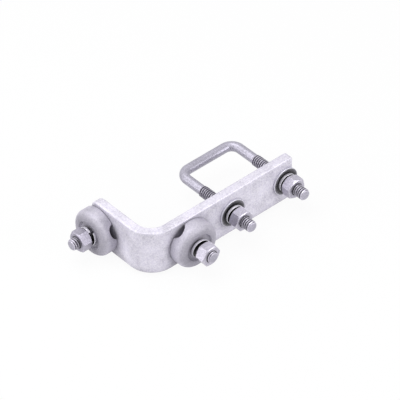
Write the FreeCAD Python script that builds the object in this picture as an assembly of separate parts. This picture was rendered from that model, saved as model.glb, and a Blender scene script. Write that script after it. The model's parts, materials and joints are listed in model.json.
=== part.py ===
import FreeCAD, Part
import math
import os

# Grounding clamp: an L-bent flat bar that carries a square U-bolt for the
# structure and two round grooved pads for the earthing conductors.
# Origin: on the back face of the long arm, midway between the U-bolt legs and
# halfway up the bar. +X runs along the long arm to its free end, +Y points
# away from the bar into the loop, +Z is up, across the bar's width.

# Driving dimensions in millimetres.

# Bar
bar_width = 50.0
bar_thickness = 10.0
long_arm_length = 185.0
short_arm_length = 84.0
bend_inner_radius = 17.0
long_arm_corner_radius = 3.5
short_arm_corner_radius = 9.5
bar_edge_radius = 1.8
u_bolt_centre_from_long_end = 45.0
long_bolt_from_corner = 51.0
long_bolt_below_middle = 2.7
short_bolt_from_short_end = 13.6
short_bolt_below_middle = 3.8

# Thread and clearances
thread_diameter = 12.0
thread_fit_clearance = 0.05
tip_chamfer = 1.3
u_bolt_hole_clearance = 1.0
pad_bolt_hole_clearance = 0.5
flat_washer_clearance = 0.5
spring_washer_clearance = 0.3

# U-bolt
leg_pitch = 69.0
rod_diameter = 10.2
crossbar_behind_bar = 66.0
corner_centreline_radius = 11.0
thread_behind_bar = 11.5
thread_run_out = 0.9
u_bolt_tip_beyond_near_nut = 11.5

# Flat washers
u_bolt_washer_diameter = 30.0
u_bolt_washer_thickness = 2.0
head_washer_diameter = 24.0
head_washer_thickness = 2.5
washer_edge_chamfer = 0.4

# Split spring washers
spring_section_width = 3.9
spring_section_thickness = 2.5
near_spring_rise = 3.0
far_spring_rise = 2.0
short_spring_rise = 3.5
long_spring_rise = 5.5
spring_gap_angle = 14.0

# Hexagon nuts and bolt heads
across_flats = 20.0
nut_height = 11.0
head_height = 7.5
hex_chamfer_angle = 30.0
hex_face_share_of_flats = 0.95
nut_countersink = 0.6

# Clamp pads
pad_inside_bar_width = 0.5
pad_thickness = 15.2
pad_front_radius = 7.0
pad_back_edge_radius = 0.8
pad_seat_radius = 13.5
pad_seat_depth = 2.0
pad_seat_shoulder = 1.6
groove_radius = 6.4
groove_depth = 6.3
groove_lip = 0.85
groove_mouth_to_bore = 0.2
short_bolt_tip_beyond_nut = 7.0
long_bolt_tip_beyond_nut = 2.8

# How each turning piece stands at rest, in degrees about its own bolt, counted
# from the direction along the arm towards up.
short_pad_turn = 332.0
long_pad_turn = 71.0
short_nut_turn = 12.0
long_nut_turn = 0.0
near_nut_turn = 5.0
far_nut_turn = 40.0
short_split_turn = 52.0
long_split_turn = 150.0
near_split_turn = 235.0
far_split_turn = 215.0

# Values that follow from the driving dimensions
half_width = bar_width / 2.0
thread_radius = thread_diameter / 2.0
long_arm_end_x = u_bolt_centre_from_long_end
corner_x = long_arm_end_x - long_arm_length
front_y = -bar_thickness
short_arm_end_y = front_y + short_arm_length
bend_outer_radius = bend_inner_radius + bar_thickness
long_bolt_x = corner_x + long_bolt_from_corner
short_bolt_y = short_arm_end_y - short_bolt_from_short_end
half_pitch = leg_pitch / 2.0
pad_radius = half_width - pad_inside_bar_width
pad_bore = thread_radius + pad_bolt_hole_clearance
groove_offset = pad_bore + groove_mouth_to_bore + groove_lip + groove_radius
pad_seat_height = pad_thickness - pad_seat_depth
near_nut_base = u_bolt_washer_thickness + spring_section_thickness + near_spring_rise
far_nut_base = u_bolt_washer_thickness + spring_section_thickness + far_spring_rise
short_nut_base = pad_seat_height + spring_section_thickness + short_spring_rise
long_nut_base = pad_seat_height + spring_section_thickness + long_spring_rise
u_bolt_tip_height = near_nut_base + nut_height + u_bolt_tip_beyond_near_nut

ORIGIN = FreeCAD.Vector(0, 0, 0)
X_AXIS = FreeCAD.Vector(1, 0, 0)
Y_AXIS = FreeCAD.Vector(0, 1, 0)
Z_AXIS = FreeCAD.Vector(0, 0, 1)


# Stations: every bolted stack is drawn about its own axis with z = 0 on the
# bar's outer face and +z pointing outwards, then set in place on its arm.

def station_on_long_arm(x, z):
    turn = FreeCAD.Rotation(X_AXIS, Z_AXIS, Y_AXIS.negative())
    return FreeCAD.Placement(FreeCAD.Vector(x, front_y, z), turn)


def station_on_short_arm(y, z):
    turn = FreeCAD.Rotation(Y_AXIS.negative(), Z_AXIS, X_AXIS.negative())
    return FreeCAD.Placement(FreeCAD.Vector(corner_x, y, z), turn)


near_leg_station = station_on_long_arm(-half_pitch, 0)
far_leg_station = station_on_long_arm(half_pitch, 0)
long_pad_station = station_on_long_arm(long_bolt_x, -long_bolt_below_middle)
short_pad_station = station_on_short_arm(short_bolt_y, -short_bolt_below_middle)


def set_at(shape, station, height=0.0, turn=0.0):
    """Copy a piece drawn about +z to its station, lifted and turned about its axis."""
    local = FreeCAD.Placement(FreeCAD.Vector(0, 0, height), FreeCAD.Rotation(Z_AXIS, turn))
    placed = shape.copy()
    placed.Placement = station.multiply(local)
    return placed


def revolved(points):
    """Solid of revolution about z from (radius, height) points."""
    outline = Part.makePolygon([FreeCAD.Vector(r, 0, z) for r, z in points + points[:1]])
    return Part.Face(outline).revolve(ORIGIN, Z_AXIS, 360)


def edges_along(shape, wanted):
    return [edge for edge in shape.Edges if wanted(edge)]


# Bar

def bar_profile():
    """The L seen from above, with concentric inner and outer bends."""
    inner_x = corner_x + bar_thickness
    outer_bend_x = corner_x + bend_outer_radius
    bend_y = front_y + bend_outer_radius
    diagonal = math.sqrt(0.5)

    def on_bend(radius, share):
        return FreeCAD.Vector(outer_bend_x - radius * share, bend_y - radius * share, -half_width)

    def at(x, y):
        return FreeCAD.Vector(x, y, -half_width)

    outer_arc = Part.Arc(
        at(corner_x, bend_y),
        on_bend(bend_outer_radius, diagonal),
        at(outer_bend_x, front_y),
    )
    inner_arc = Part.Arc(
        at(outer_bend_x, 0),
        on_bend(bend_inner_radius, diagonal),
        at(inner_x, bend_y),
    )
    edges = [
        Part.makeLine(at(corner_x, short_arm_end_y), at(corner_x, bend_y)),
        outer_arc.toShape(),
        Part.makeLine(at(outer_bend_x, front_y), at(long_arm_end_x, front_y)),
        Part.makeLine(at(long_arm_end_x, front_y), at(long_arm_end_x, 0)),
        Part.makeLine(at(long_arm_end_x, 0), at(outer_bend_x, 0)),
        inner_arc.toShape(),
        Part.makeLine(at(inner_x, bend_y), at(inner_x, short_arm_end_y)),
        Part.makeLine(at(inner_x, short_arm_end_y), at(corner_x, short_arm_end_y)),
    ]
    return Part.Face(Part.Wire(edges))


def is_across_thickness(edge):
    at_top_or_bottom = abs(abs(edge.CenterOfMass.z) - half_width) < 0.01
    return at_top_or_bottom and abs(edge.Length - bar_thickness) < 0.01


def is_long_arm_corner(edge):
    return is_across_thickness(edge) and abs(edge.CenterOfMass.x - long_arm_end_x) < 0.01


def is_short_arm_corner(edge):
    return is_across_thickness(edge) and abs(edge.CenterOfMass.y - short_arm_end_y) < 0.01


def is_long_edge(edge):
    """The edges that run along the bar at its top and bottom, bend included."""
    ends = [vertex.Point for vertex in edge.Vertexes]
    level = all(abs(abs(point.z) - half_width) < 0.01 for point in ends)
    return level and edge.Length > bar_thickness + 0.01


def bolt_hole(station, radius):
    depth = bar_thickness + 2.0
    return set_at(Part.makeCylinder(radius, depth), station, -bar_thickness - 1.0)


def clamp_bar():
    bar = bar_profile().extrude(FreeCAD.Vector(0, 0, bar_width))
    bar = bar.makeFillet(long_arm_corner_radius, edges_along(bar, is_long_arm_corner))
    bar = bar.makeFillet(short_arm_corner_radius, edges_along(bar, is_short_arm_corner))
    bar = bar.makeFillet(bar_edge_radius, edges_along(bar, is_long_edge))
    u_bolt_hole = thread_radius + u_bolt_hole_clearance
    for station in (near_leg_station, far_leg_station):
        bar = bar.cut(bolt_hole(station, u_bolt_hole))
    for station in (long_pad_station, short_pad_station):
        bar = bar.cut(bolt_hole(station, pad_bore))
    return bar


# Threaded pieces, drawn at their thread's outer diameter

def threaded_end(length):
    """Plain cylinder with a chamfered tip at its top."""
    return revolved([
        (0, 0),
        (thread_radius, 0),
        (thread_radius, length - tip_chamfer),
        (thread_radius - tip_chamfer, length),
        (0, length),
    ])


def hex_prism(height, chamfer_bottom):
    """Hexagon with its corners turned down to a circle at the top, and at the bottom if asked."""
    corner_radius = across_flats / math.sqrt(3.0)
    corners = []
    for step in range(7):
        angle = math.radians(60.0 * step)
        corners.append(FreeCAD.Vector(corner_radius * math.cos(angle), corner_radius * math.sin(angle), 0))
    prism = Part.Face(Part.makePolygon(corners)).extrude(FreeCAD.Vector(0, 0, height))
    face_radius = across_flats * hex_face_share_of_flats / 2.0
    reach = corner_radius + 1.0
    drop = (reach - face_radius) * math.tan(math.radians(hex_chamfer_angle))
    outline = [(0, 0)]
    if chamfer_bottom:
        outline += [(face_radius, 0), (reach, drop)]
    else:
        outline += [(reach, 0)]
    outline += [(reach, height - drop), (face_radius, height), (0, height)]
    return prism.common(revolved(outline))


def hex_nut():
    bore = thread_radius + thread_fit_clearance
    nut = hex_prism(nut_height, True)
    wide = bore + nut_countersink
    return nut.cut(revolved([
        (0, 0),
        (wide, 0),
        (bore, nut_countersink),
        (bore, nut_height - nut_countersink),
        (wide, nut_height),
        (0, nut_height),
    ]))


def pad_bolt(tip):
    """Hexagon bolt through the bar: its head bears on a washer behind the bar."""
    under_head = -bar_thickness - head_washer_thickness
    shank = threaded_end(tip - under_head)
    shank.translate(FreeCAD.Vector(0, 0, under_head))
    head = hex_prism(head_height, False)
    head.rotate(ORIGIN, X_AXIS, 180)
    head.translate(FreeCAD.Vector(0, 0, under_head))
    return shank.fuse(head).removeSplitter()


def u_bolt():
    """Square U of plain rod whose legs end in thread of a larger diameter."""
    far_y = crossbar_behind_bar
    bend_y = far_y - corner_centreline_radius
    bend_x = half_pitch - corner_centreline_radius
    share = corner_centreline_radius * math.sqrt(0.5)

    def at(x, y):
        return FreeCAD.Vector(x, y, 0)

    path = Part.Wire([
        Part.makeLine(at(-half_pitch, thread_behind_bar), at(-half_pitch, bend_y)),
        Part.Arc(
            at(-half_pitch, bend_y),
            at(-bend_x - share, bend_y + share),
            at(-bend_x, far_y),
        ).toShape(),
        Part.makeLine(at(-bend_x, far_y), at(bend_x, far_y)),
        Part.Arc(
            at(bend_x, far_y),
            at(bend_x + share, bend_y + share),
            at(half_pitch, bend_y),
        ).toShape(),
        Part.makeLine(at(half_pitch, bend_y), at(half_pitch, thread_behind_bar)),
    ])
    section = Part.makeCircle(rod_diameter / 2.0, at(-half_pitch, thread_behind_bar), Y_AXIS)
    loop = path.makePipeShell([Part.Wire(section)], True, False)
    rod_radius = rod_diameter / 2.0
    leg_length = bar_thickness + thread_behind_bar + u_bolt_tip_height
    leg = revolved([
        (0, 0),
        (rod_radius, 0),
        (thread_radius, thread_run_out),
        (thread_radius, leg_length - tip_chamfer),
        (thread_radius - tip_chamfer, leg_length),
        (0, leg_length),
    ])
    for station in (near_leg_station, far_leg_station):
        loop = loop.fuse(set_at(leg, station, -bar_thickness - thread_behind_bar))
    return loop.removeSplitter()


# Washers

def flat_washer(diameter, thickness):
    """Ring whose outer edge is broken on its upper side."""
    inner = thread_radius + flat_washer_clearance
    outer = diameter / 2.0
    return revolved([
        (inner, 0),
        (outer, 0),
        (outer, thickness - washer_edge_chamfer),
        (outer - washer_edge_chamfer, thickness),
        (inner, thickness),
    ])


def spring_washer(rise):
    """Split ring of rectangular section that climbs by its rise over one turn."""
    inner = thread_radius + spring_washer_clearance
    outer = inner + spring_section_width
    turn_share = (360.0 - spring_gap_angle) / 360.0
    spine = Part.makeHelix(rise / turn_share, rise, (inner + outer) / 2.0)
    section = Part.makePolygon([
        FreeCAD.Vector(inner, 0, 0),
        FreeCAD.Vector(outer, 0, 0),
        FreeCAD.Vector(outer, 0, spring_section_thickness),
        FreeCAD.Vector(inner, 0, spring_section_thickness),
        FreeCAD.Vector(inner, 0, 0),
    ])
    return Part.Wire(spine.Edges).makePipeShell([section], True, True)


# Clamp pads

def pad_blank():
    """Thick disc: flat back, full round front edge and a shallow seat for the spring washer."""
    bore = pad_bore
    full = pad_radius
    top = pad_thickness
    front_flat = full - pad_front_radius
    share = math.sqrt(0.5)
    arc_middle = FreeCAD.Vector(
        front_flat + pad_front_radius * share,
        0,
        top - pad_front_radius + pad_front_radius * share,
    )

    def at(r, z):
        return FreeCAD.Vector(r, 0, z)

    edge = pad_back_edge_radius
    edges = [
        Part.makeLine(at(bore, 0), at(full - edge, 0)),
        Part.Arc(at(full - edge, 0), at(full - edge + edge * share, edge - edge * share), at(full, edge)).toShape(),
        Part.makeLine(at(full, edge), at(full, top - pad_front_radius)),
        Part.Arc(at(full, top - pad_front_radius), arc_middle, at(front_flat, top)).toShape(),
        Part.makeLine(at(front_flat, top), at(pad_seat_radius + pad_seat_shoulder, top)),
        Part.makeLine(at(pad_seat_radius + pad_seat_shoulder, top), at(pad_seat_radius, pad_seat_height)),
        Part.makeLine(at(pad_seat_radius, pad_seat_height), at(bore, pad_seat_height)),
        Part.makeLine(at(bore, pad_seat_height), at(bore, 0)),
    ]
    return Part.Face(Part.Wire(edges)).revolve(ORIGIN, Z_AXIS, 360)


def groove_cutter():
    """Round-bottomed channel beside the bolt, with its mouth's two lips broken."""
    reach = 2.0 * pad_radius
    centre_height = groove_depth - groove_radius
    cutter = Part.makeCylinder(
        groove_radius,
        reach,
        FreeCAD.Vector(groove_offset, -reach / 2.0, centre_height),
        Y_AXIS,
    )
    mouth_half = math.sqrt(groove_radius ** 2 - centre_height ** 2)
    flare = []
    for side in (-1.0, 1.0):
        lip = groove_offset + side * mouth_half
        flare.append(Part.makePolygon([
            FreeCAD.Vector(lip - side * groove_lip, -reach / 2.0, -1.0),
            FreeCAD.Vector(lip + side * groove_lip, -reach / 2.0, -1.0),
            FreeCAD.Vector(lip + side * groove_lip, -reach / 2.0, 0.0),
            FreeCAD.Vector(lip, -reach / 2.0, groove_lip),
            FreeCAD.Vector(lip - side * groove_lip, -reach / 2.0, groove_lip),
            FreeCAD.Vector(lip - side * groove_lip, -reach / 2.0, -1.0),
        ]))
    for outline in flare:
        cutter = cutter.fuse(Part.Face(outline).extrude(FreeCAD.Vector(0, reach, 0)))
    return cutter


def clamp_pad():
    return pad_blank().cut(groove_cutter())


# Nodes

def pieces():
    """Every sub-part by the name of its node."""
    u_washer = flat_washer(u_bolt_washer_diameter, u_bolt_washer_thickness)
    head_washer = flat_washer(head_washer_diameter, head_washer_thickness)
    nut = hex_nut()
    pad = clamp_pad()
    behind_bar = -bar_thickness - head_washer_thickness
    made = {
        "clamp_bar": clamp_bar(),
        "u_bolt": u_bolt(),
    }
    legs = (
        ("near_leg", near_leg_station, near_spring_rise, near_split_turn, near_nut_base, near_nut_turn),
        ("far_leg", far_leg_station, far_spring_rise, far_split_turn, far_nut_base, far_nut_turn),
    )
    arms = (
        ("short_arm", short_pad_station, short_spring_rise, short_split_turn, short_nut_base, short_nut_turn),
        ("long_arm", long_pad_station, long_spring_rise, long_split_turn, long_nut_base, long_nut_turn),
    )
    for name, station, rise, split_turn, nut_base, nut_turn in legs + arms:
        spring_base = nut_base - rise - spring_section_thickness
        made[name + "_spring_washer"] = set_at(spring_washer(rise), station, spring_base, split_turn)
        made[name + "_nut"] = set_at(nut, station, nut_base, nut_turn)
    for name, station in (("near_leg", near_leg_station), ("far_leg", far_leg_station)):
        made[name + "_flat_washer"] = set_at(u_washer, station)
    pads = (
        ("short_arm", short_pad_station, short_pad_turn, short_nut_base + nut_height + short_bolt_tip_beyond_nut),
        ("long_arm", long_pad_station, long_pad_turn, long_nut_base + nut_height + long_bolt_tip_beyond_nut),
    )
    for name, station, pad_turn, tip in pads:
        made[name + "_pad"] = set_at(pad, station, 0, pad_turn)
        made[name + "_bolt"] = set_at(pad_bolt(tip), station)
        made[name + "_head_washer"] = set_at(head_washer, station, behind_bar)
    return made


def main():
    os.makedirs("parts", exist_ok=True)
    for node, shape in pieces().items():
        shape.exportStep("parts/" + node + ".step")


main()
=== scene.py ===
import json
import math

import bmesh
import bpy
from mathutils import Matrix, Vector


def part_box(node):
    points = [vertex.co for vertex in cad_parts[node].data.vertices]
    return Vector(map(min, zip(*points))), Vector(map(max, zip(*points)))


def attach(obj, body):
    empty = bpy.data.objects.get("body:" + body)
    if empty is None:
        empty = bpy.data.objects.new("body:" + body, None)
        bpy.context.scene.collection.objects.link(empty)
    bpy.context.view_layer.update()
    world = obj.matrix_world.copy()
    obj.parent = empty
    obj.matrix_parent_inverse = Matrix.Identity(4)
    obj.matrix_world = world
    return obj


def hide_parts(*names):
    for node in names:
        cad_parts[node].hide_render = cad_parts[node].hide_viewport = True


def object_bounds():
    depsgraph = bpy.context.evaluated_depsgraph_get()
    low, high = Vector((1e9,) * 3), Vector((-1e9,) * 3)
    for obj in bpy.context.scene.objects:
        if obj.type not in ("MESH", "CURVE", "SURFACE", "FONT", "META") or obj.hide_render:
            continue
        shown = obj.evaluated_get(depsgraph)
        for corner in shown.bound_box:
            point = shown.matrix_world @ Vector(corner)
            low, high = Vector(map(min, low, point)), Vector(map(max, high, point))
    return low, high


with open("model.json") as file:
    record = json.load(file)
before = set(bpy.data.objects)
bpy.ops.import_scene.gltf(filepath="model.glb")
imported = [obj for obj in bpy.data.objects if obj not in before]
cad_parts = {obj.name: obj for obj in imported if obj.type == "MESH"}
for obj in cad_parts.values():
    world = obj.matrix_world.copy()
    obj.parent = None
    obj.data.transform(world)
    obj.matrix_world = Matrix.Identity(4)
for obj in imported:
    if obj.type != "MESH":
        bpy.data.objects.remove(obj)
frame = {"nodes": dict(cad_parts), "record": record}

cad_low, cad_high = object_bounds()

# Grounding clamp on white paper. Everything is in metres, in the frame of the
# solids: +X along the long arm, +Y into the U-bolt loop, +Z up.

# Sizes shared with the solids
ROD_RADIUS = 0.0051
CORNER_RADIUS = 0.011
THREAD_RADIUS = 0.006
HEAD_HEIGHT = 0.0075
ACROSS_FLATS = 0.020
HEX_FACE_RADIUS = 0.0095
HEX_CHAMFER = math.radians(30)
SPRING_INNER_RADIUS = 0.0063
SPRING_WIDTH = 0.0039
SPRING_THICKNESS = 0.0025
SPRING_GAP = math.radians(14)

# Thread: how its radius goes over one pitch, as shares of the crest's radius,
# how far it runs out into the rod, and how far it reaches behind the bar
THREAD_PITCH = 0.0024
THREAD_PROFILE = (0.80, 0.82, 0.88, 0.96, 1.0, 0.99, 0.92, 0.84)
THREAD_RUN_OUT = 0.0016
THREAD_BEHIND_BAR = 0.033

# Of a threaded piece's looks the first is the rod's, and this one the thread's
THREAD_LOOK = 1

# Ends of a threaded rod: the radius of its tip and of the neck under a bolt
# head, as shares of the crest's, and the slight crown on the tip's face
TIP_SHARE = 0.78
NECK_SHARE = 0.95
CROWN_HEIGHT = 0.00015
CROWN_SHARE = 0.8

# Rows of points up a bolt head, by their height above its outer face
HEX_ROWS = (HEAD_HEIGHT, 0.0018, 0.0012, 0.0008, 0.0005, 0.00025, 0.0)

# Broken outer edges of a spring washer
SPRING_EDGE = 0.0003

# Mesh fineness
ROUND_STEPS = 36
BEND_STEPS = 14
SPRING_STEPS = 60
MERGE_DISTANCE = 1e-6
PLACE_DIGITS = 7
SHARP_ANGLE = math.radians(35)

# Where the bolts along X and Y point, and the direction along their arm from
# which a turn about them is counted, towards up
OUTWARD = {"X": Vector((-1, 0, 0)), "Y": Vector((0, -1, 0))}
ALONG_ARM = {"X": Vector((0, -1, 0)), "Y": Vector((1, 0, 0))}

# Spring washers: the body that carries each, and the turn of its split in degrees
SPRINGS = (
    ("near_leg", "clamp_body", 235),
    ("far_leg", "clamp_body", 215),
    ("short_arm", "short_arm_carrier", 52),
    ("long_arm", "long_arm_carrier", 240),
)

# Colours of the zinc. The nut on the short arm, whose bolt runs along X, has a darker
# copy of the nut colour, as painted shade.
BAR_COLOUR = (0.67, 0.655, 0.73)
ROD_COLOUR = (0.41, 0.40, 0.465)
THREAD_COLOUR = (0.55, 0.53, 0.61)
NUT_COLOURS = {"X": (0.40, 0.385, 0.455), "Y": (0.485, 0.47, 0.54)}
WASHER_COLOUR = (0.70, 0.685, 0.76)
SPRING_COLOUR = (0.82, 0.80, 0.87)
PAD_COLOUR = (0.53, 0.515, 0.585)

# Grain of the zinc, and how many of its clouds and pits there are to a metre
GRAIN_SIZE = 0.0016
PAD_GRAIN_SIZE = 0.0014
CLOUDS_PER_METRE = 70.0
PITS_PER_METRE = 420.0

# Where the dark, middle and light tones lie between a pattern's least and most
DARK_STOP = 0.30
MIDDLE_STOP = 0.50
CLOUD_LIGHT_STOP = 0.72
GRAIN_LIGHT_STOP = 0.70

# Tone that leaves a colour as it is where another is laid over it
NEUTRAL = 0.5

# How much of a cloud's darkening its lightening has, how much of the grain
# shows, and how far the pits take the roughness down and up
LIGHTENING = 0.7
GRAIN_SHARE = 0.9
SMOOTHER = 0.07
ROUGHER = 0.09

# Strength and depth in the surface
CLOUD_BUMP = (0.25, 0.0006)
PIT_BUMP = (0.35, 0.00018)
GRAIN_BUMP = (0.45, 0.00009)

# How far around it a surface looks for crevices, where shade is painted in
SHADE_REACH = 0.010
BAR_REACH = 0.015
STACK_REACH = 0.009
NUT_REACH = 0.005
PAD_REACH = 0.013
THREAD_REACH = 0.0022

# Painted shade: brightness that is left at each share of open sky, and the tint of the painted shade
FLAT_SHADE = ((0.06, 0.08), (0.45, 0.45), (0.78, 0.90), (0.92, 1.0))
BAR_SHADE = ((0.45, 0.57), (0.72, 0.83), (0.90, 1.0))
PAD_SHADE = ((0.45, 0.86), (0.80, 0.90), (0.95, 1.0))
STACK_SHADE = ((0.40, 0.02), (0.74, 0.05), (0.91, 0.50), (0.98, 1.0))
THREAD_SHADE = ((0.50, 0.10), (0.80, 0.45), (0.95, 1.0))
SHADE_TINT = (1.0, 0.985, 1.01)

# Painted shade: brightness of the flat faces of a pad against its rim
SHADED_FACE = 0.72

# Painted highlights on the edges: how far in they reach, how bright they are against the neutral
# tone, and how well the rounded surface matches the flat one at an edge and beside it
NUT_EDGE = 0.0007
BAR_EDGE = 0.0009
EDGE_BRIGHTNESS = 0.66
EDGE_MATCH = 0.960
FLAT_MATCH = 0.995

# Paper and surroundings
WHITE = (1.0, 1.0, 1.0, 1.0)
PAPER_COLOUR = (0.86, 0.86, 0.87, 1.0)
PAPER_GLOW = 0.93
PAPER_SIZE = 12.0
PAPER_BELOW = 0.0002
SKY_STRENGTH = 0.50

# Softboxes: place, width and height, and power in watts, all turned to one point
LIT_POINT = Vector((-0.02, 0.0, 0.0))
SOFTBOXES = (
    ("overhead", (-0.25, 0.30, 1.15), (1.1, 0.9), 7.8),
    ("front", (0.45, -1.10, 0.36), (0.6, 0.5), 7.4),
    ("left", (-1.15, 0.40, 0.45), (0.8, 0.6), 5.0),
)

# View of the picture: its angles, its distance from the point it looks at, how
# large it shows that point, and how far aside of the middle that point lies
VIEW_AZIMUTH = math.radians(40.806)
VIEW_HEIGHT = math.radians(41.233)
VIEW_ROLL = math.radians(-0.991)
VIEW_DISTANCE = 2.915
VIEW_CENTRE = Vector((-0.045, 0.005, 0.0))
VIEW_ASIDE = Vector((0.01283, -0.00906))
PIXELS_PER_METRE = 1039.0
PICTURE_PIXELS = 400.0
SENSOR_WIDTH = 36.0
NEAREST_SEEN = 0.05
FARTHEST_SEEN = 30.0


# Places of the solids


def midpoint(node):
    low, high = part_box(node)
    return (low + high) / 2


def length_along(node, axis):
    low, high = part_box(node)
    return abs((high - low).dot(axis))


def bolt_axis(node):
    """The short arm's bolt and all that it carries lie along X, and the others along Y."""
    return "X" if node.startswith("short_arm") else "Y"


# Materials


def empty_tree(owner, output_type):
    """Clear the nodes of a material or world, and give its tree and surface input."""
    owner.use_nodes = True
    tree = owner.node_tree
    tree.nodes.clear()
    output = tree.nodes.new(output_type)
    return tree, output.inputs["Surface"]


def noise(tree, place, scale, detail, roughness):
    texture = tree.nodes.new("ShaderNodeTexNoise")
    texture.inputs["Scale"].default_value = scale
    texture.inputs["Detail"].default_value = detail
    texture.inputs["Roughness"].default_value = roughness
    tree.links.new(place, texture.inputs["Vector"])
    return texture.outputs["Fac"]


def ramp(tree, source, stops):
    node = tree.nodes.new("ShaderNodeValToRGB")
    elements = node.color_ramp.elements
    while len(elements) < len(stops):
        elements.new(0.5)
    for element, (position, colour) in zip(elements, stops):
        element.position = position
        element.color = (*colour, 1.0)
    tree.links.new(source, node.inputs["Fac"])
    return node.outputs["Color"]


def spread(tree, source, low, high, from_low=0.3, from_high=0.7):
    """Stretch a value from one range to another."""
    node = tree.nodes.new("ShaderNodeMapRange")
    node.inputs["From Min"].default_value = from_low
    node.inputs["From Max"].default_value = from_high
    node.inputs["To Min"].default_value = low
    node.inputs["To Max"].default_value = high
    tree.links.new(source, node.inputs["Value"])
    return node.outputs["Result"]


def blended(tree, first, second, share, kind="MIX"):
    """Blend two colours by a share, which is a number or comes from another node."""
    node = tree.nodes.new("ShaderNodeMix")
    node.data_type = "RGBA"
    node.blend_type = kind
    if isinstance(share, bpy.types.NodeSocket):
        tree.links.new(share, node.inputs["Factor"])
    else:
        node.inputs["Factor"].default_value = share
    tree.links.new(first, node.inputs["A"])
    tree.links.new(second, node.inputs["B"])
    return node.outputs["Result"]


def bumped(tree, shader, layers):
    """Chain bump layers of a height, its strength and its depth into the shader."""
    normal = None
    for height, (strength, depth) in layers:
        bump = tree.nodes.new("ShaderNodeBump")
        bump.inputs["Strength"].default_value = strength
        bump.inputs["Distance"].default_value = depth
        tree.links.new(height, bump.inputs["Height"])
        if normal is not None:
            tree.links.new(normal, bump.inputs["Normal"])
        normal = bump.outputs["Normal"]
    tree.links.new(normal, shader.inputs["Normal"])


def shade(colour, factor):
    return tuple(min(1.0, channel * factor) for channel in colour)


def grey(brightness):
    return (brightness,) * 3


def crevice_shaded(tree, colour, reach, stops):
    """Paint shade into a colour towards the crevices around it, by (openness, brightness) stops."""
    open_sky = tree.nodes.new("ShaderNodeAmbientOcclusion")
    open_sky.samples = 12
    open_sky.inputs["Distance"].default_value = reach
    tinted = [(openness, shade(SHADE_TINT, brightness)) for openness, brightness in stops]
    shade_tones = ramp(tree, open_sky.outputs["AO"], tinted)
    return blended(tree, colour, shade_tones, 1.0, "MULTIPLY")


def edge_highlights(tree, colour, radius):
    """Paint a highlight on the edges, where the surface turns within the radius."""
    rounded = tree.nodes.new("ShaderNodeBevel")
    rounded.samples = 6
    rounded.inputs["Radius"].default_value = radius
    surface = tree.nodes.new("ShaderNodeNewGeometry")
    match = tree.nodes.new("ShaderNodeVectorMath")
    match.operation = "DOT_PRODUCT"
    tree.links.new(rounded.outputs["Normal"], match.inputs[0])
    tree.links.new(surface.outputs["Normal"], match.inputs[1])
    stops = ((EDGE_MATCH, grey(EDGE_BRIGHTNESS)), (FLAT_MATCH, grey(NEUTRAL)))
    edge_tone = ramp(tree, match.outputs["Value"], stops)
    return blended(tree, colour, edge_tone, 1.0, "OVERLAY")


def facing_axis(tree, axis, start, full):
    """1 on the flat faces across an axis of the frame and 0 on the rims around it."""
    place = tree.nodes.new("ShaderNodeTexCoord")
    parts = tree.nodes.new("ShaderNodeSeparateXYZ")
    tree.links.new(place.outputs["Normal"], parts.inputs["Vector"])
    size = tree.nodes.new("ShaderNodeMath")
    size.operation = "ABSOLUTE"
    tree.links.new(parts.outputs[axis], size.inputs[0])
    return spread(tree, size.outputs["Value"], 0.0, 1.0, start, full)


def zinc(name, colour, metallic, roughness, grain, patchiness, grain_size=GRAIN_SIZE,
         reach=SHADE_REACH, stops=FLAT_SHADE, crevice_shade_axis=None, edge_radius=None, shaded_face_axis=None):
    """Dull zinc on steel: a fine sandy grain over broad, faint clouds, with painted shade in the
    crevices.

    Where an axis is given for the crevice shade, only the faces across it take that painted shade,
    and where an axis is given for darker faces, those faces get painted shade against the rim. Edges
    get a painted highlight where an edge radius is given.
    """
    material = bpy.data.materials.new(name)
    tree, surface = empty_tree(material, "ShaderNodeOutputMaterial")
    shader = tree.nodes.new("ShaderNodeBsdfPrincipled")
    tree.links.new(shader.outputs["BSDF"], surface)
    place = tree.nodes.new("ShaderNodeTexCoord").outputs["Object"]
    clouds = noise(tree, place, CLOUDS_PER_METRE, detail=4.0, roughness=0.55)
    sand = noise(tree, place, 1.0 / grain_size, detail=2.0, roughness=0.6)
    pits = noise(tree, place, PITS_PER_METRE, detail=3.0, roughness=0.6)
    broad = ramp(tree, clouds, (
        (DARK_STOP, shade(colour, 1.0 - patchiness)),
        (MIDDLE_STOP, colour),
        (CLOUD_LIGHT_STOP, shade(colour, 1.0 + patchiness * LIGHTENING)),
    ))
    fine = ramp(tree, sand, (
        (DARK_STOP, grey(NEUTRAL - grain)),
        (GRAIN_LIGHT_STOP, grey(NEUTRAL + grain)),
    ))
    skin = blended(tree, broad, fine, GRAIN_SHARE, "OVERLAY")
    # Painted shade, darker where little open sky is near: in crevices, between parts and beside the
    # stacks
    shaded_and_lit = crevice_shaded(tree, skin, reach, stops)
    # Painted shade kept to the faces across the axis, where one is given
    if crevice_shade_axis is not None:
        shaded_and_lit = blended(tree, skin, shaded_and_lit, facing_axis(tree, crevice_shade_axis, start=0.75, full=0.90))
    # Painted shade: the flat faces across the axis darker than the rim
    if shaded_face_axis is not None:
        faces = facing_axis(tree, shaded_face_axis, start=0.45, full=0.95)
        face_shade = ramp(tree, faces, ((0.0, grey(1.0)), (1.0, grey(SHADED_FACE))))
        shaded_and_lit = blended(tree, shaded_and_lit, face_shade, 1.0, "MULTIPLY")
    # Painted highlight along the edges, where an edge radius is given
    if edge_radius is not None:
        shaded_and_lit = edge_highlights(tree, shaded_and_lit, edge_radius)
    uneven = spread(tree, pits, roughness - SMOOTHER, roughness + ROUGHER)
    tree.links.new(shaded_and_lit, shader.inputs["Base Color"])
    tree.links.new(uneven, shader.inputs["Roughness"])
    shader.inputs["Metallic"].default_value = metallic
    bumped(tree, shader, ((clouds, CLOUD_BUMP), (pits, PIT_BUMP), (sand, GRAIN_BUMP)))
    return material


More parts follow.
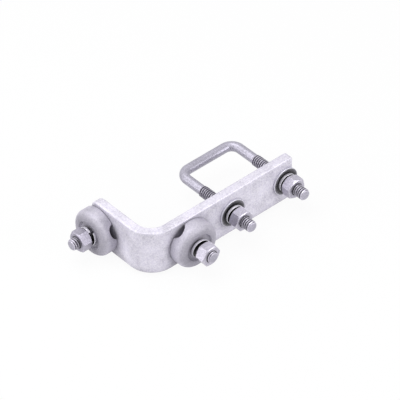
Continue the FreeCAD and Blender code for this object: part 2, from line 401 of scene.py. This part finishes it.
# Bar zinc with painted shade around the stacks and pads, and painted highlights on its edges
def bar_zinc():
    return zinc("bar_zinc", BAR_COLOUR, metallic=0.40, roughness=0.56, grain=0.16, patchiness=0.15,
                reach=BAR_REACH, stops=BAR_SHADE, edge_radius=BAR_EDGE)


# Rod zinc with painted shade in its crevices
def rod_zinc():
    return zinc("rod_zinc", ROD_COLOUR, metallic=0.70, roughness=0.44, grain=0.10, patchiness=0.10)


# Thread zinc with painted shade in its roots
def thread_zinc():
    return zinc("thread_zinc", THREAD_COLOUR, metallic=0.60, roughness=0.42, grain=0.10,
                patchiness=0.08, reach=THREAD_REACH, stops=THREAD_SHADE)


# Nut zinc with painted shade in its crevices and painted highlights on its edges
def nut_zinc(axis):
    return zinc("nut_zinc_" + axis, NUT_COLOURS[axis], metallic=0.78, roughness=0.38, grain=0.10,
                patchiness=0.10, reach=NUT_REACH, edge_radius=NUT_EDGE)


# Flat washer zinc with painted shade on its faces, darkest next to the nut
def washer_zinc(axis):
    return zinc("washer_zinc_" + axis, WASHER_COLOUR, metallic=0.60, roughness=0.42, grain=0.08,
                patchiness=0.06, reach=STACK_REACH, stops=STACK_SHADE, crevice_shade_axis=axis)


# Spring washer zinc with painted shade on its faces, darkest next to the nut and washer
def spring_zinc(axis):
    return zinc("spring_zinc_" + axis, SPRING_COLOUR, metallic=0.70, roughness=0.36, grain=0.06,
                patchiness=0.05, reach=STACK_REACH, stops=STACK_SHADE, crevice_shade_axis=axis)


# Pad iron with painted shade in its groove and against the bar, and its flat faces painted darker
# than the rim as shade
def pad_iron(axis):
    return zinc("pad_iron_" + axis, PAD_COLOUR, metallic=0.35, roughness=0.60, grain=0.08,
                patchiness=0.12, grain_size=PAD_GRAIN_SIZE, reach=PAD_REACH, stops=PAD_SHADE,
                shaded_face_axis=axis)


# Meshes


def object_from(name, mesh_maker, looks, body, replaced):
    """Make a piece that rides on a body and stands for one node."""
    mesh = bpy.data.meshes.new(name)
    piece = bpy.data.objects.new(name, mesh)
    bpy.context.scene.collection.objects.link(piece)
    build = bmesh.new()
    mesh_maker(build)
    bmesh.ops.remove_doubles(build, verts=build.verts, dist=MERGE_DISTANCE)
    bmesh.ops.recalc_face_normals(build, faces=build.faces)
    build.to_mesh(mesh)
    build.free()
    for look in looks:
        mesh.materials.append(look)
    mesh.shade_smooth()
    mesh.set_sharp_from_angle(angle=SHARP_ANGLE)
    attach(piece, body)
    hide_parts(replaced)


def facing(origin, direction, side):
    """Placement with local z along direction and local x along side."""
    z = Vector(direction).normalized()
    x = Vector(side).normalized()
    y = z.cross(x)
    turn = Matrix((x, y, z)).transposed().to_4x4()
    return Matrix.Translation(origin) @ turn


def point(build, place, radius, angle, z):
    """A point of the mesh, by its place about the local z axis of a placement."""
    return build.verts.new(place @ Vector((radius * math.cos(angle), radius * math.sin(angle), z)))


def ring(build, place, radius, z=0.0):
    turns = (2 * math.pi * i / ROUND_STEPS for i in range(ROUND_STEPS))
    return [point(build, place, radius, angle, z) for angle in turns]


def bridge(build, first, second):
    """Join two rows of as many points by a closed band of faces."""
    count = len(first)
    for i in range(count):
        j = (i + 1) % count
        build.faces.new((first[i], first[j], second[j], second[i]))


def thread(build, place, length, start_radius):
    """Right-hand thread along the local z axis, chamfered at its tip.

    The rows of points follow the helix, so the crest stays crisp. At its start
    the thread runs out into a rod of start_radius. Rows beyond either end are
    pressed onto it, and their faces, which have no area, are left out.
    """
    steps = len(THREAD_PROFILE)
    tip_radius = THREAD_RADIUS * TIP_SHARE
    rows = int(length / THREAD_PITCH + 2) * steps
    grid = []
    for i in range(ROUND_STEPS + 1):
        angle = 2 * math.pi * i / ROUND_STEPS
        column = []
        for j in range(rows + 1):
            z = THREAD_PITCH * (j / steps + i / ROUND_STEPS) - THREAD_PITCH
            z = min(max(z, 0.0), length)
            radius = THREAD_RADIUS * THREAD_PROFILE[j % steps]
            fade = min(1.0, z / THREAD_RUN_OUT)
            radius = start_radius + (radius - start_radius) * fade
            radius = min(radius, tip_radius + (length - z))
            column.append(point(build, place, radius, angle, z))
        grid.append(column)
    for i in range(ROUND_STEPS):
        for j in range(rows):
            corners = (grid[i][j], grid[i + 1][j], grid[i + 1][j + 1], grid[i][j + 1])
            places = {tuple(round(v, PLACE_DIGITS) for v in corner.co) for corner in corners}
            if len(places) > 2:
                build.faces.new(corners).material_index = THREAD_LOOK
    edge = ring(build, place, tip_radius, length)
    crown = ring(build, place, tip_radius * CROWN_SHARE, length + CROWN_HEIGHT)
    bridge(build, edge, crown)
    build.faces.new(crown)


def u_bolt_mesh(build):
    """Rod bent square to a U, plain around its loop and threaded along both legs."""
    low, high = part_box("u_bolt")
    leg_x = midpoint("far_leg_nut").x
    bend_y = high.y - ROD_RADIUS - CORNER_RADIUS
    halves = []
    for side in (-1, 1):
        half = [(Vector((side * leg_x, THREAD_BEHIND_BAR, 0.0)), Vector((0, 1, 0)))]
        for k in range(BEND_STEPS + 1):
            angle = math.pi / 2 * k / BEND_STEPS
            spot = Vector((
                side * (leg_x - CORNER_RADIUS + CORNER_RADIUS * math.cos(angle)),
                bend_y + CORNER_RADIUS * math.sin(angle),
                0.0,
            ))
            heading = Vector((-side * math.sin(angle), math.cos(angle), 0.0))
            half.append((spot, heading))
        halves.append(half)
    near, far = halves
    back = [(spot, -heading) for spot, heading in reversed(far)]
    previous = None
    for spot, heading in near + back:
        current = ring(build, facing(spot, heading, (0, 0, 1)), ROD_RADIUS)
        if previous is not None:
            bridge(build, previous, current)
        previous = current
    for side in (-1, 1):
        place = facing((side * leg_x, THREAD_BEHIND_BAR, 0.0), (0, -1, 0), (0, 0, 1))
        thread(build, place, THREAD_BEHIND_BAR - low.y, ROD_RADIUS)


def hexagon_radius(angle):
    """Distance from the axis to a side of the hexagon, corners on the local x axis."""
    from_middle_of_side = (angle % (math.pi / 3)) - math.pi / 6
    return ACROSS_FLATS / 2 / math.cos(from_middle_of_side)


def hex_head(build, place):
    """Hexagon head from local z = 0 down, its outer corners turned to a cone."""
    previous = None
    for above_face in HEX_ROWS:
        cone = HEX_FACE_RADIUS + above_face / math.tan(HEX_CHAMFER)
        current = []
        for i in range(ROUND_STEPS * 2):
            angle = math.pi * i / ROUND_STEPS
            radius = min(hexagon_radius(angle), cone)
            current.append(point(build, place, radius, angle, above_face - HEAD_HEIGHT))
        if previous is None:
            build.faces.new(current)
        else:
            bridge(build, previous, current)
        previous = current
    build.faces.new(previous)


def bolt_mesh(node):
    """Pad bolt: hexagon head behind the bar and a threaded shank out to its tip."""
    outward = OUTWARD[bolt_axis(node)]
    length = length_along(node, outward)
    under_head = midpoint(node) - outward * (length / 2 - HEAD_HEIGHT)

    def make(build):
        place = facing(under_head, outward, ALONG_ARM[bolt_axis(node)])
        thread(build, place, length - HEAD_HEIGHT, THREAD_RADIUS * NECK_SHARE)
        hex_head(build, place)

    return make


def spring_mesh(node, split_turn):
    """Split washer of rectangular section with broken outer edges, wound left-handed.

    It lies on its seat just short of its split, and climbs clockwise, seen from
    outside, until it touches the nut on the split's other side.
    """
    outward = OUTWARD[bolt_axis(node)]
    height = length_along(node, outward)
    base = midpoint(node) - outward * height / 2
    rise = height - SPRING_THICKNESS
    outer = SPRING_INNER_RADIUS + SPRING_WIDTH
    section = (
        (SPRING_INNER_RADIUS, 0.0),
        (outer - SPRING_EDGE, 0.0),
        (outer, SPRING_EDGE),
        (outer, SPRING_THICKNESS - SPRING_EDGE),
        (outer - SPRING_EDGE, SPRING_THICKNESS),
        (SPRING_INNER_RADIUS, SPRING_THICKNESS),
    )

    def make(build):
        place = facing(base, outward, ALONG_ARM[bolt_axis(node)])
        start = math.radians(split_turn) - SPRING_GAP / 2
        wound = 2 * math.pi - SPRING_GAP
        previous = None
        for k in range(SPRING_STEPS + 1):
            share = k / SPRING_STEPS
            angle = start - wound * share
            current = [point(build, place, radius, angle, z + rise * share) for radius, z in section]
            if previous is None:
                build.faces.new(current)
            else:
                bridge(build, previous, current)
            previous = current
        build.faces.new(previous)

    return make


# Paper, light and camera


def background_rays(tree):
    """1 where the background is seen straight, mirrored or through glass, and 0 elsewhere."""
    path = tree.nodes.new("ShaderNodeLightPath")
    total = path.outputs["Is Camera Ray"]
    for kind in ("Is Glossy Ray", "Is Transmission Ray"):
        either = tree.nodes.new("ShaderNodeMath")
        either.operation = "MAXIMUM"
        tree.links.new(total, either.inputs[0])
        tree.links.new(path.outputs[kind], either.inputs[1])
        total = either.outputs["Value"]
    return total


def mixed(tree, share, first, second):
    node = tree.nodes.new("ShaderNodeMixShader")
    tree.links.new(share, node.inputs["Fac"])
    tree.links.new(first, node.inputs[1])
    tree.links.new(second, node.inputs[2])
    return node.outputs["Shader"]


def paper():
    """White paper that takes the shadow faintly and looks white by itself."""
    bpy.ops.mesh.primitive_plane_add(size=PAPER_SIZE, location=(0, 0, cad_low.z - PAPER_BELOW))
    plane = bpy.context.object
    plane.name = "floor"
    material = bpy.data.materials.new("paper")
    tree, surface = empty_tree(material, "ShaderNodeOutputMaterial")
    matte = tree.nodes.new("ShaderNodeBsdfDiffuse")
    matte.inputs["Color"].default_value = PAPER_COLOUR
    glow = tree.nodes.new("ShaderNodeEmission")
    glow.inputs["Color"].default_value = WHITE
    glow.inputs["Strength"].default_value = 1.0
    share = tree.nodes.new("ShaderNodeMath")
    share.operation = "MULTIPLY"
    share.inputs[1].default_value = PAPER_GLOW
    tree.links.new(background_rays(tree), share.inputs[0])
    look = mixed(tree, share.outputs["Value"], matte.outputs["BSDF"], glow.outputs["Emission"])
    tree.links.new(look, surface)
    plane.data.materials.append(material)


def sky(tree, strength):
    node = tree.nodes.new("ShaderNodeBackground")
    node.inputs["Color"].default_value = WHITE
    node.inputs["Strength"].default_value = strength
    return node.outputs["Background"]


def studio():
    """Even white surroundings that light the object at half the strength they show."""
    world = bpy.data.worlds.new("studio")
    bpy.context.scene.world = world
    tree, surface = empty_tree(world, "ShaderNodeOutputWorld")
    look = mixed(tree, background_rays(tree), sky(tree, SKY_STRENGTH), sky(tree, 1.0))
    tree.links.new(look, surface)


def softbox(name, spot, size, power):
    lamp = bpy.data.lights.new(name, "AREA")
    lamp.shape = "RECTANGLE"
    lamp.size, lamp.size_y = size
    lamp.energy = power
    holder = bpy.data.objects.new(name, lamp)
    bpy.context.scene.collection.objects.link(holder)
    holder.location = spot
    holder.rotation_mode = "QUATERNION"
    holder.rotation_quaternion = (Vector(spot) - LIT_POINT).to_track_quat("Z", "Y")


def camera():
    right = Vector((math.cos(VIEW_AZIMUTH), -math.sin(VIEW_AZIMUTH), 0.0))
    forward = Vector((
        math.sin(VIEW_AZIMUTH) * math.cos(VIEW_HEIGHT),
        math.cos(VIEW_AZIMUTH) * math.cos(VIEW_HEIGHT),
        -math.sin(VIEW_HEIGHT),
    ))
    up = right.cross(forward)
    across = right * math.cos(VIEW_ROLL) + up * math.sin(VIEW_ROLL)
    above = up * math.cos(VIEW_ROLL) - right * math.sin(VIEW_ROLL)
    lens = bpy.data.cameras.new("camera")
    lens.sensor_width = SENSOR_WIDTH
    lens.lens = SENSOR_WIDTH * PIXELS_PER_METRE * VIEW_DISTANCE / PICTURE_PIXELS
    lens.clip_start = NEAREST_SEEN
    lens.clip_end = FARTHEST_SEEN
    holder = bpy.data.objects.new("camera", lens)
    bpy.context.scene.collection.objects.link(holder)
    spot = VIEW_CENTRE - across * VIEW_ASIDE.x - above * VIEW_ASIDE.y - forward * VIEW_DISTANCE
    turn = Matrix((across, above, -forward)).transposed().to_4x4()
    holder.matrix_world = Matrix.Translation(spot) @ turn
    bpy.context.scene.camera = holder


# Finishes of the solids

plain_finishes = {"bar_steel": bar_zinc(), "rod_steel": rod_zinc()}
finish_makers = {
    "pad_iron": pad_iron,
    "nut_steel": nut_zinc,
    "washer_steel": washer_zinc,
    "spring_steel": spring_zinc,
}
bolt_finishes = {
    (slot, axis): make_finish(axis)
    for slot, make_finish in finish_makers.items()
    for axis in ("X", "Y")
}
slot_of = {row["node"]: row["material_slot"] for row in frame["record"]["subparts"]}
for name, node in frame["nodes"].items():
    slot = slot_of[name]
    node.data.materials.clear()
    node.data.materials.append(plain_finishes.get(slot) or bolt_finishes[slot, bolt_axis(name)])

# Threaded pieces

rod_looks = (plain_finishes["rod_steel"], thread_zinc())
object_from("u_bolt_threaded", u_bolt_mesh, rod_looks, "u_bolt", "u_bolt")
for bolt in ("short_arm_bolt", "long_arm_bolt"):
    object_from(bolt + "_threaded", bolt_mesh(bolt), rod_looks, "clamp_body", bolt)

# Spring washers

for station, body, split_turn in SPRINGS:
    washer = station + "_spring_washer"
    looks = (bolt_finishes["spring_steel", bolt_axis(station)],)
    object_from(washer + "_wound", spring_mesh(washer, split_turn), looks, body, washer)

# Picture

paper()
studio()
for name, spot, size, power in SOFTBOXES:
    softbox(name, spot, size, power)
camera()
bpy.context.scene.view_settings.view_transform = "Standard"
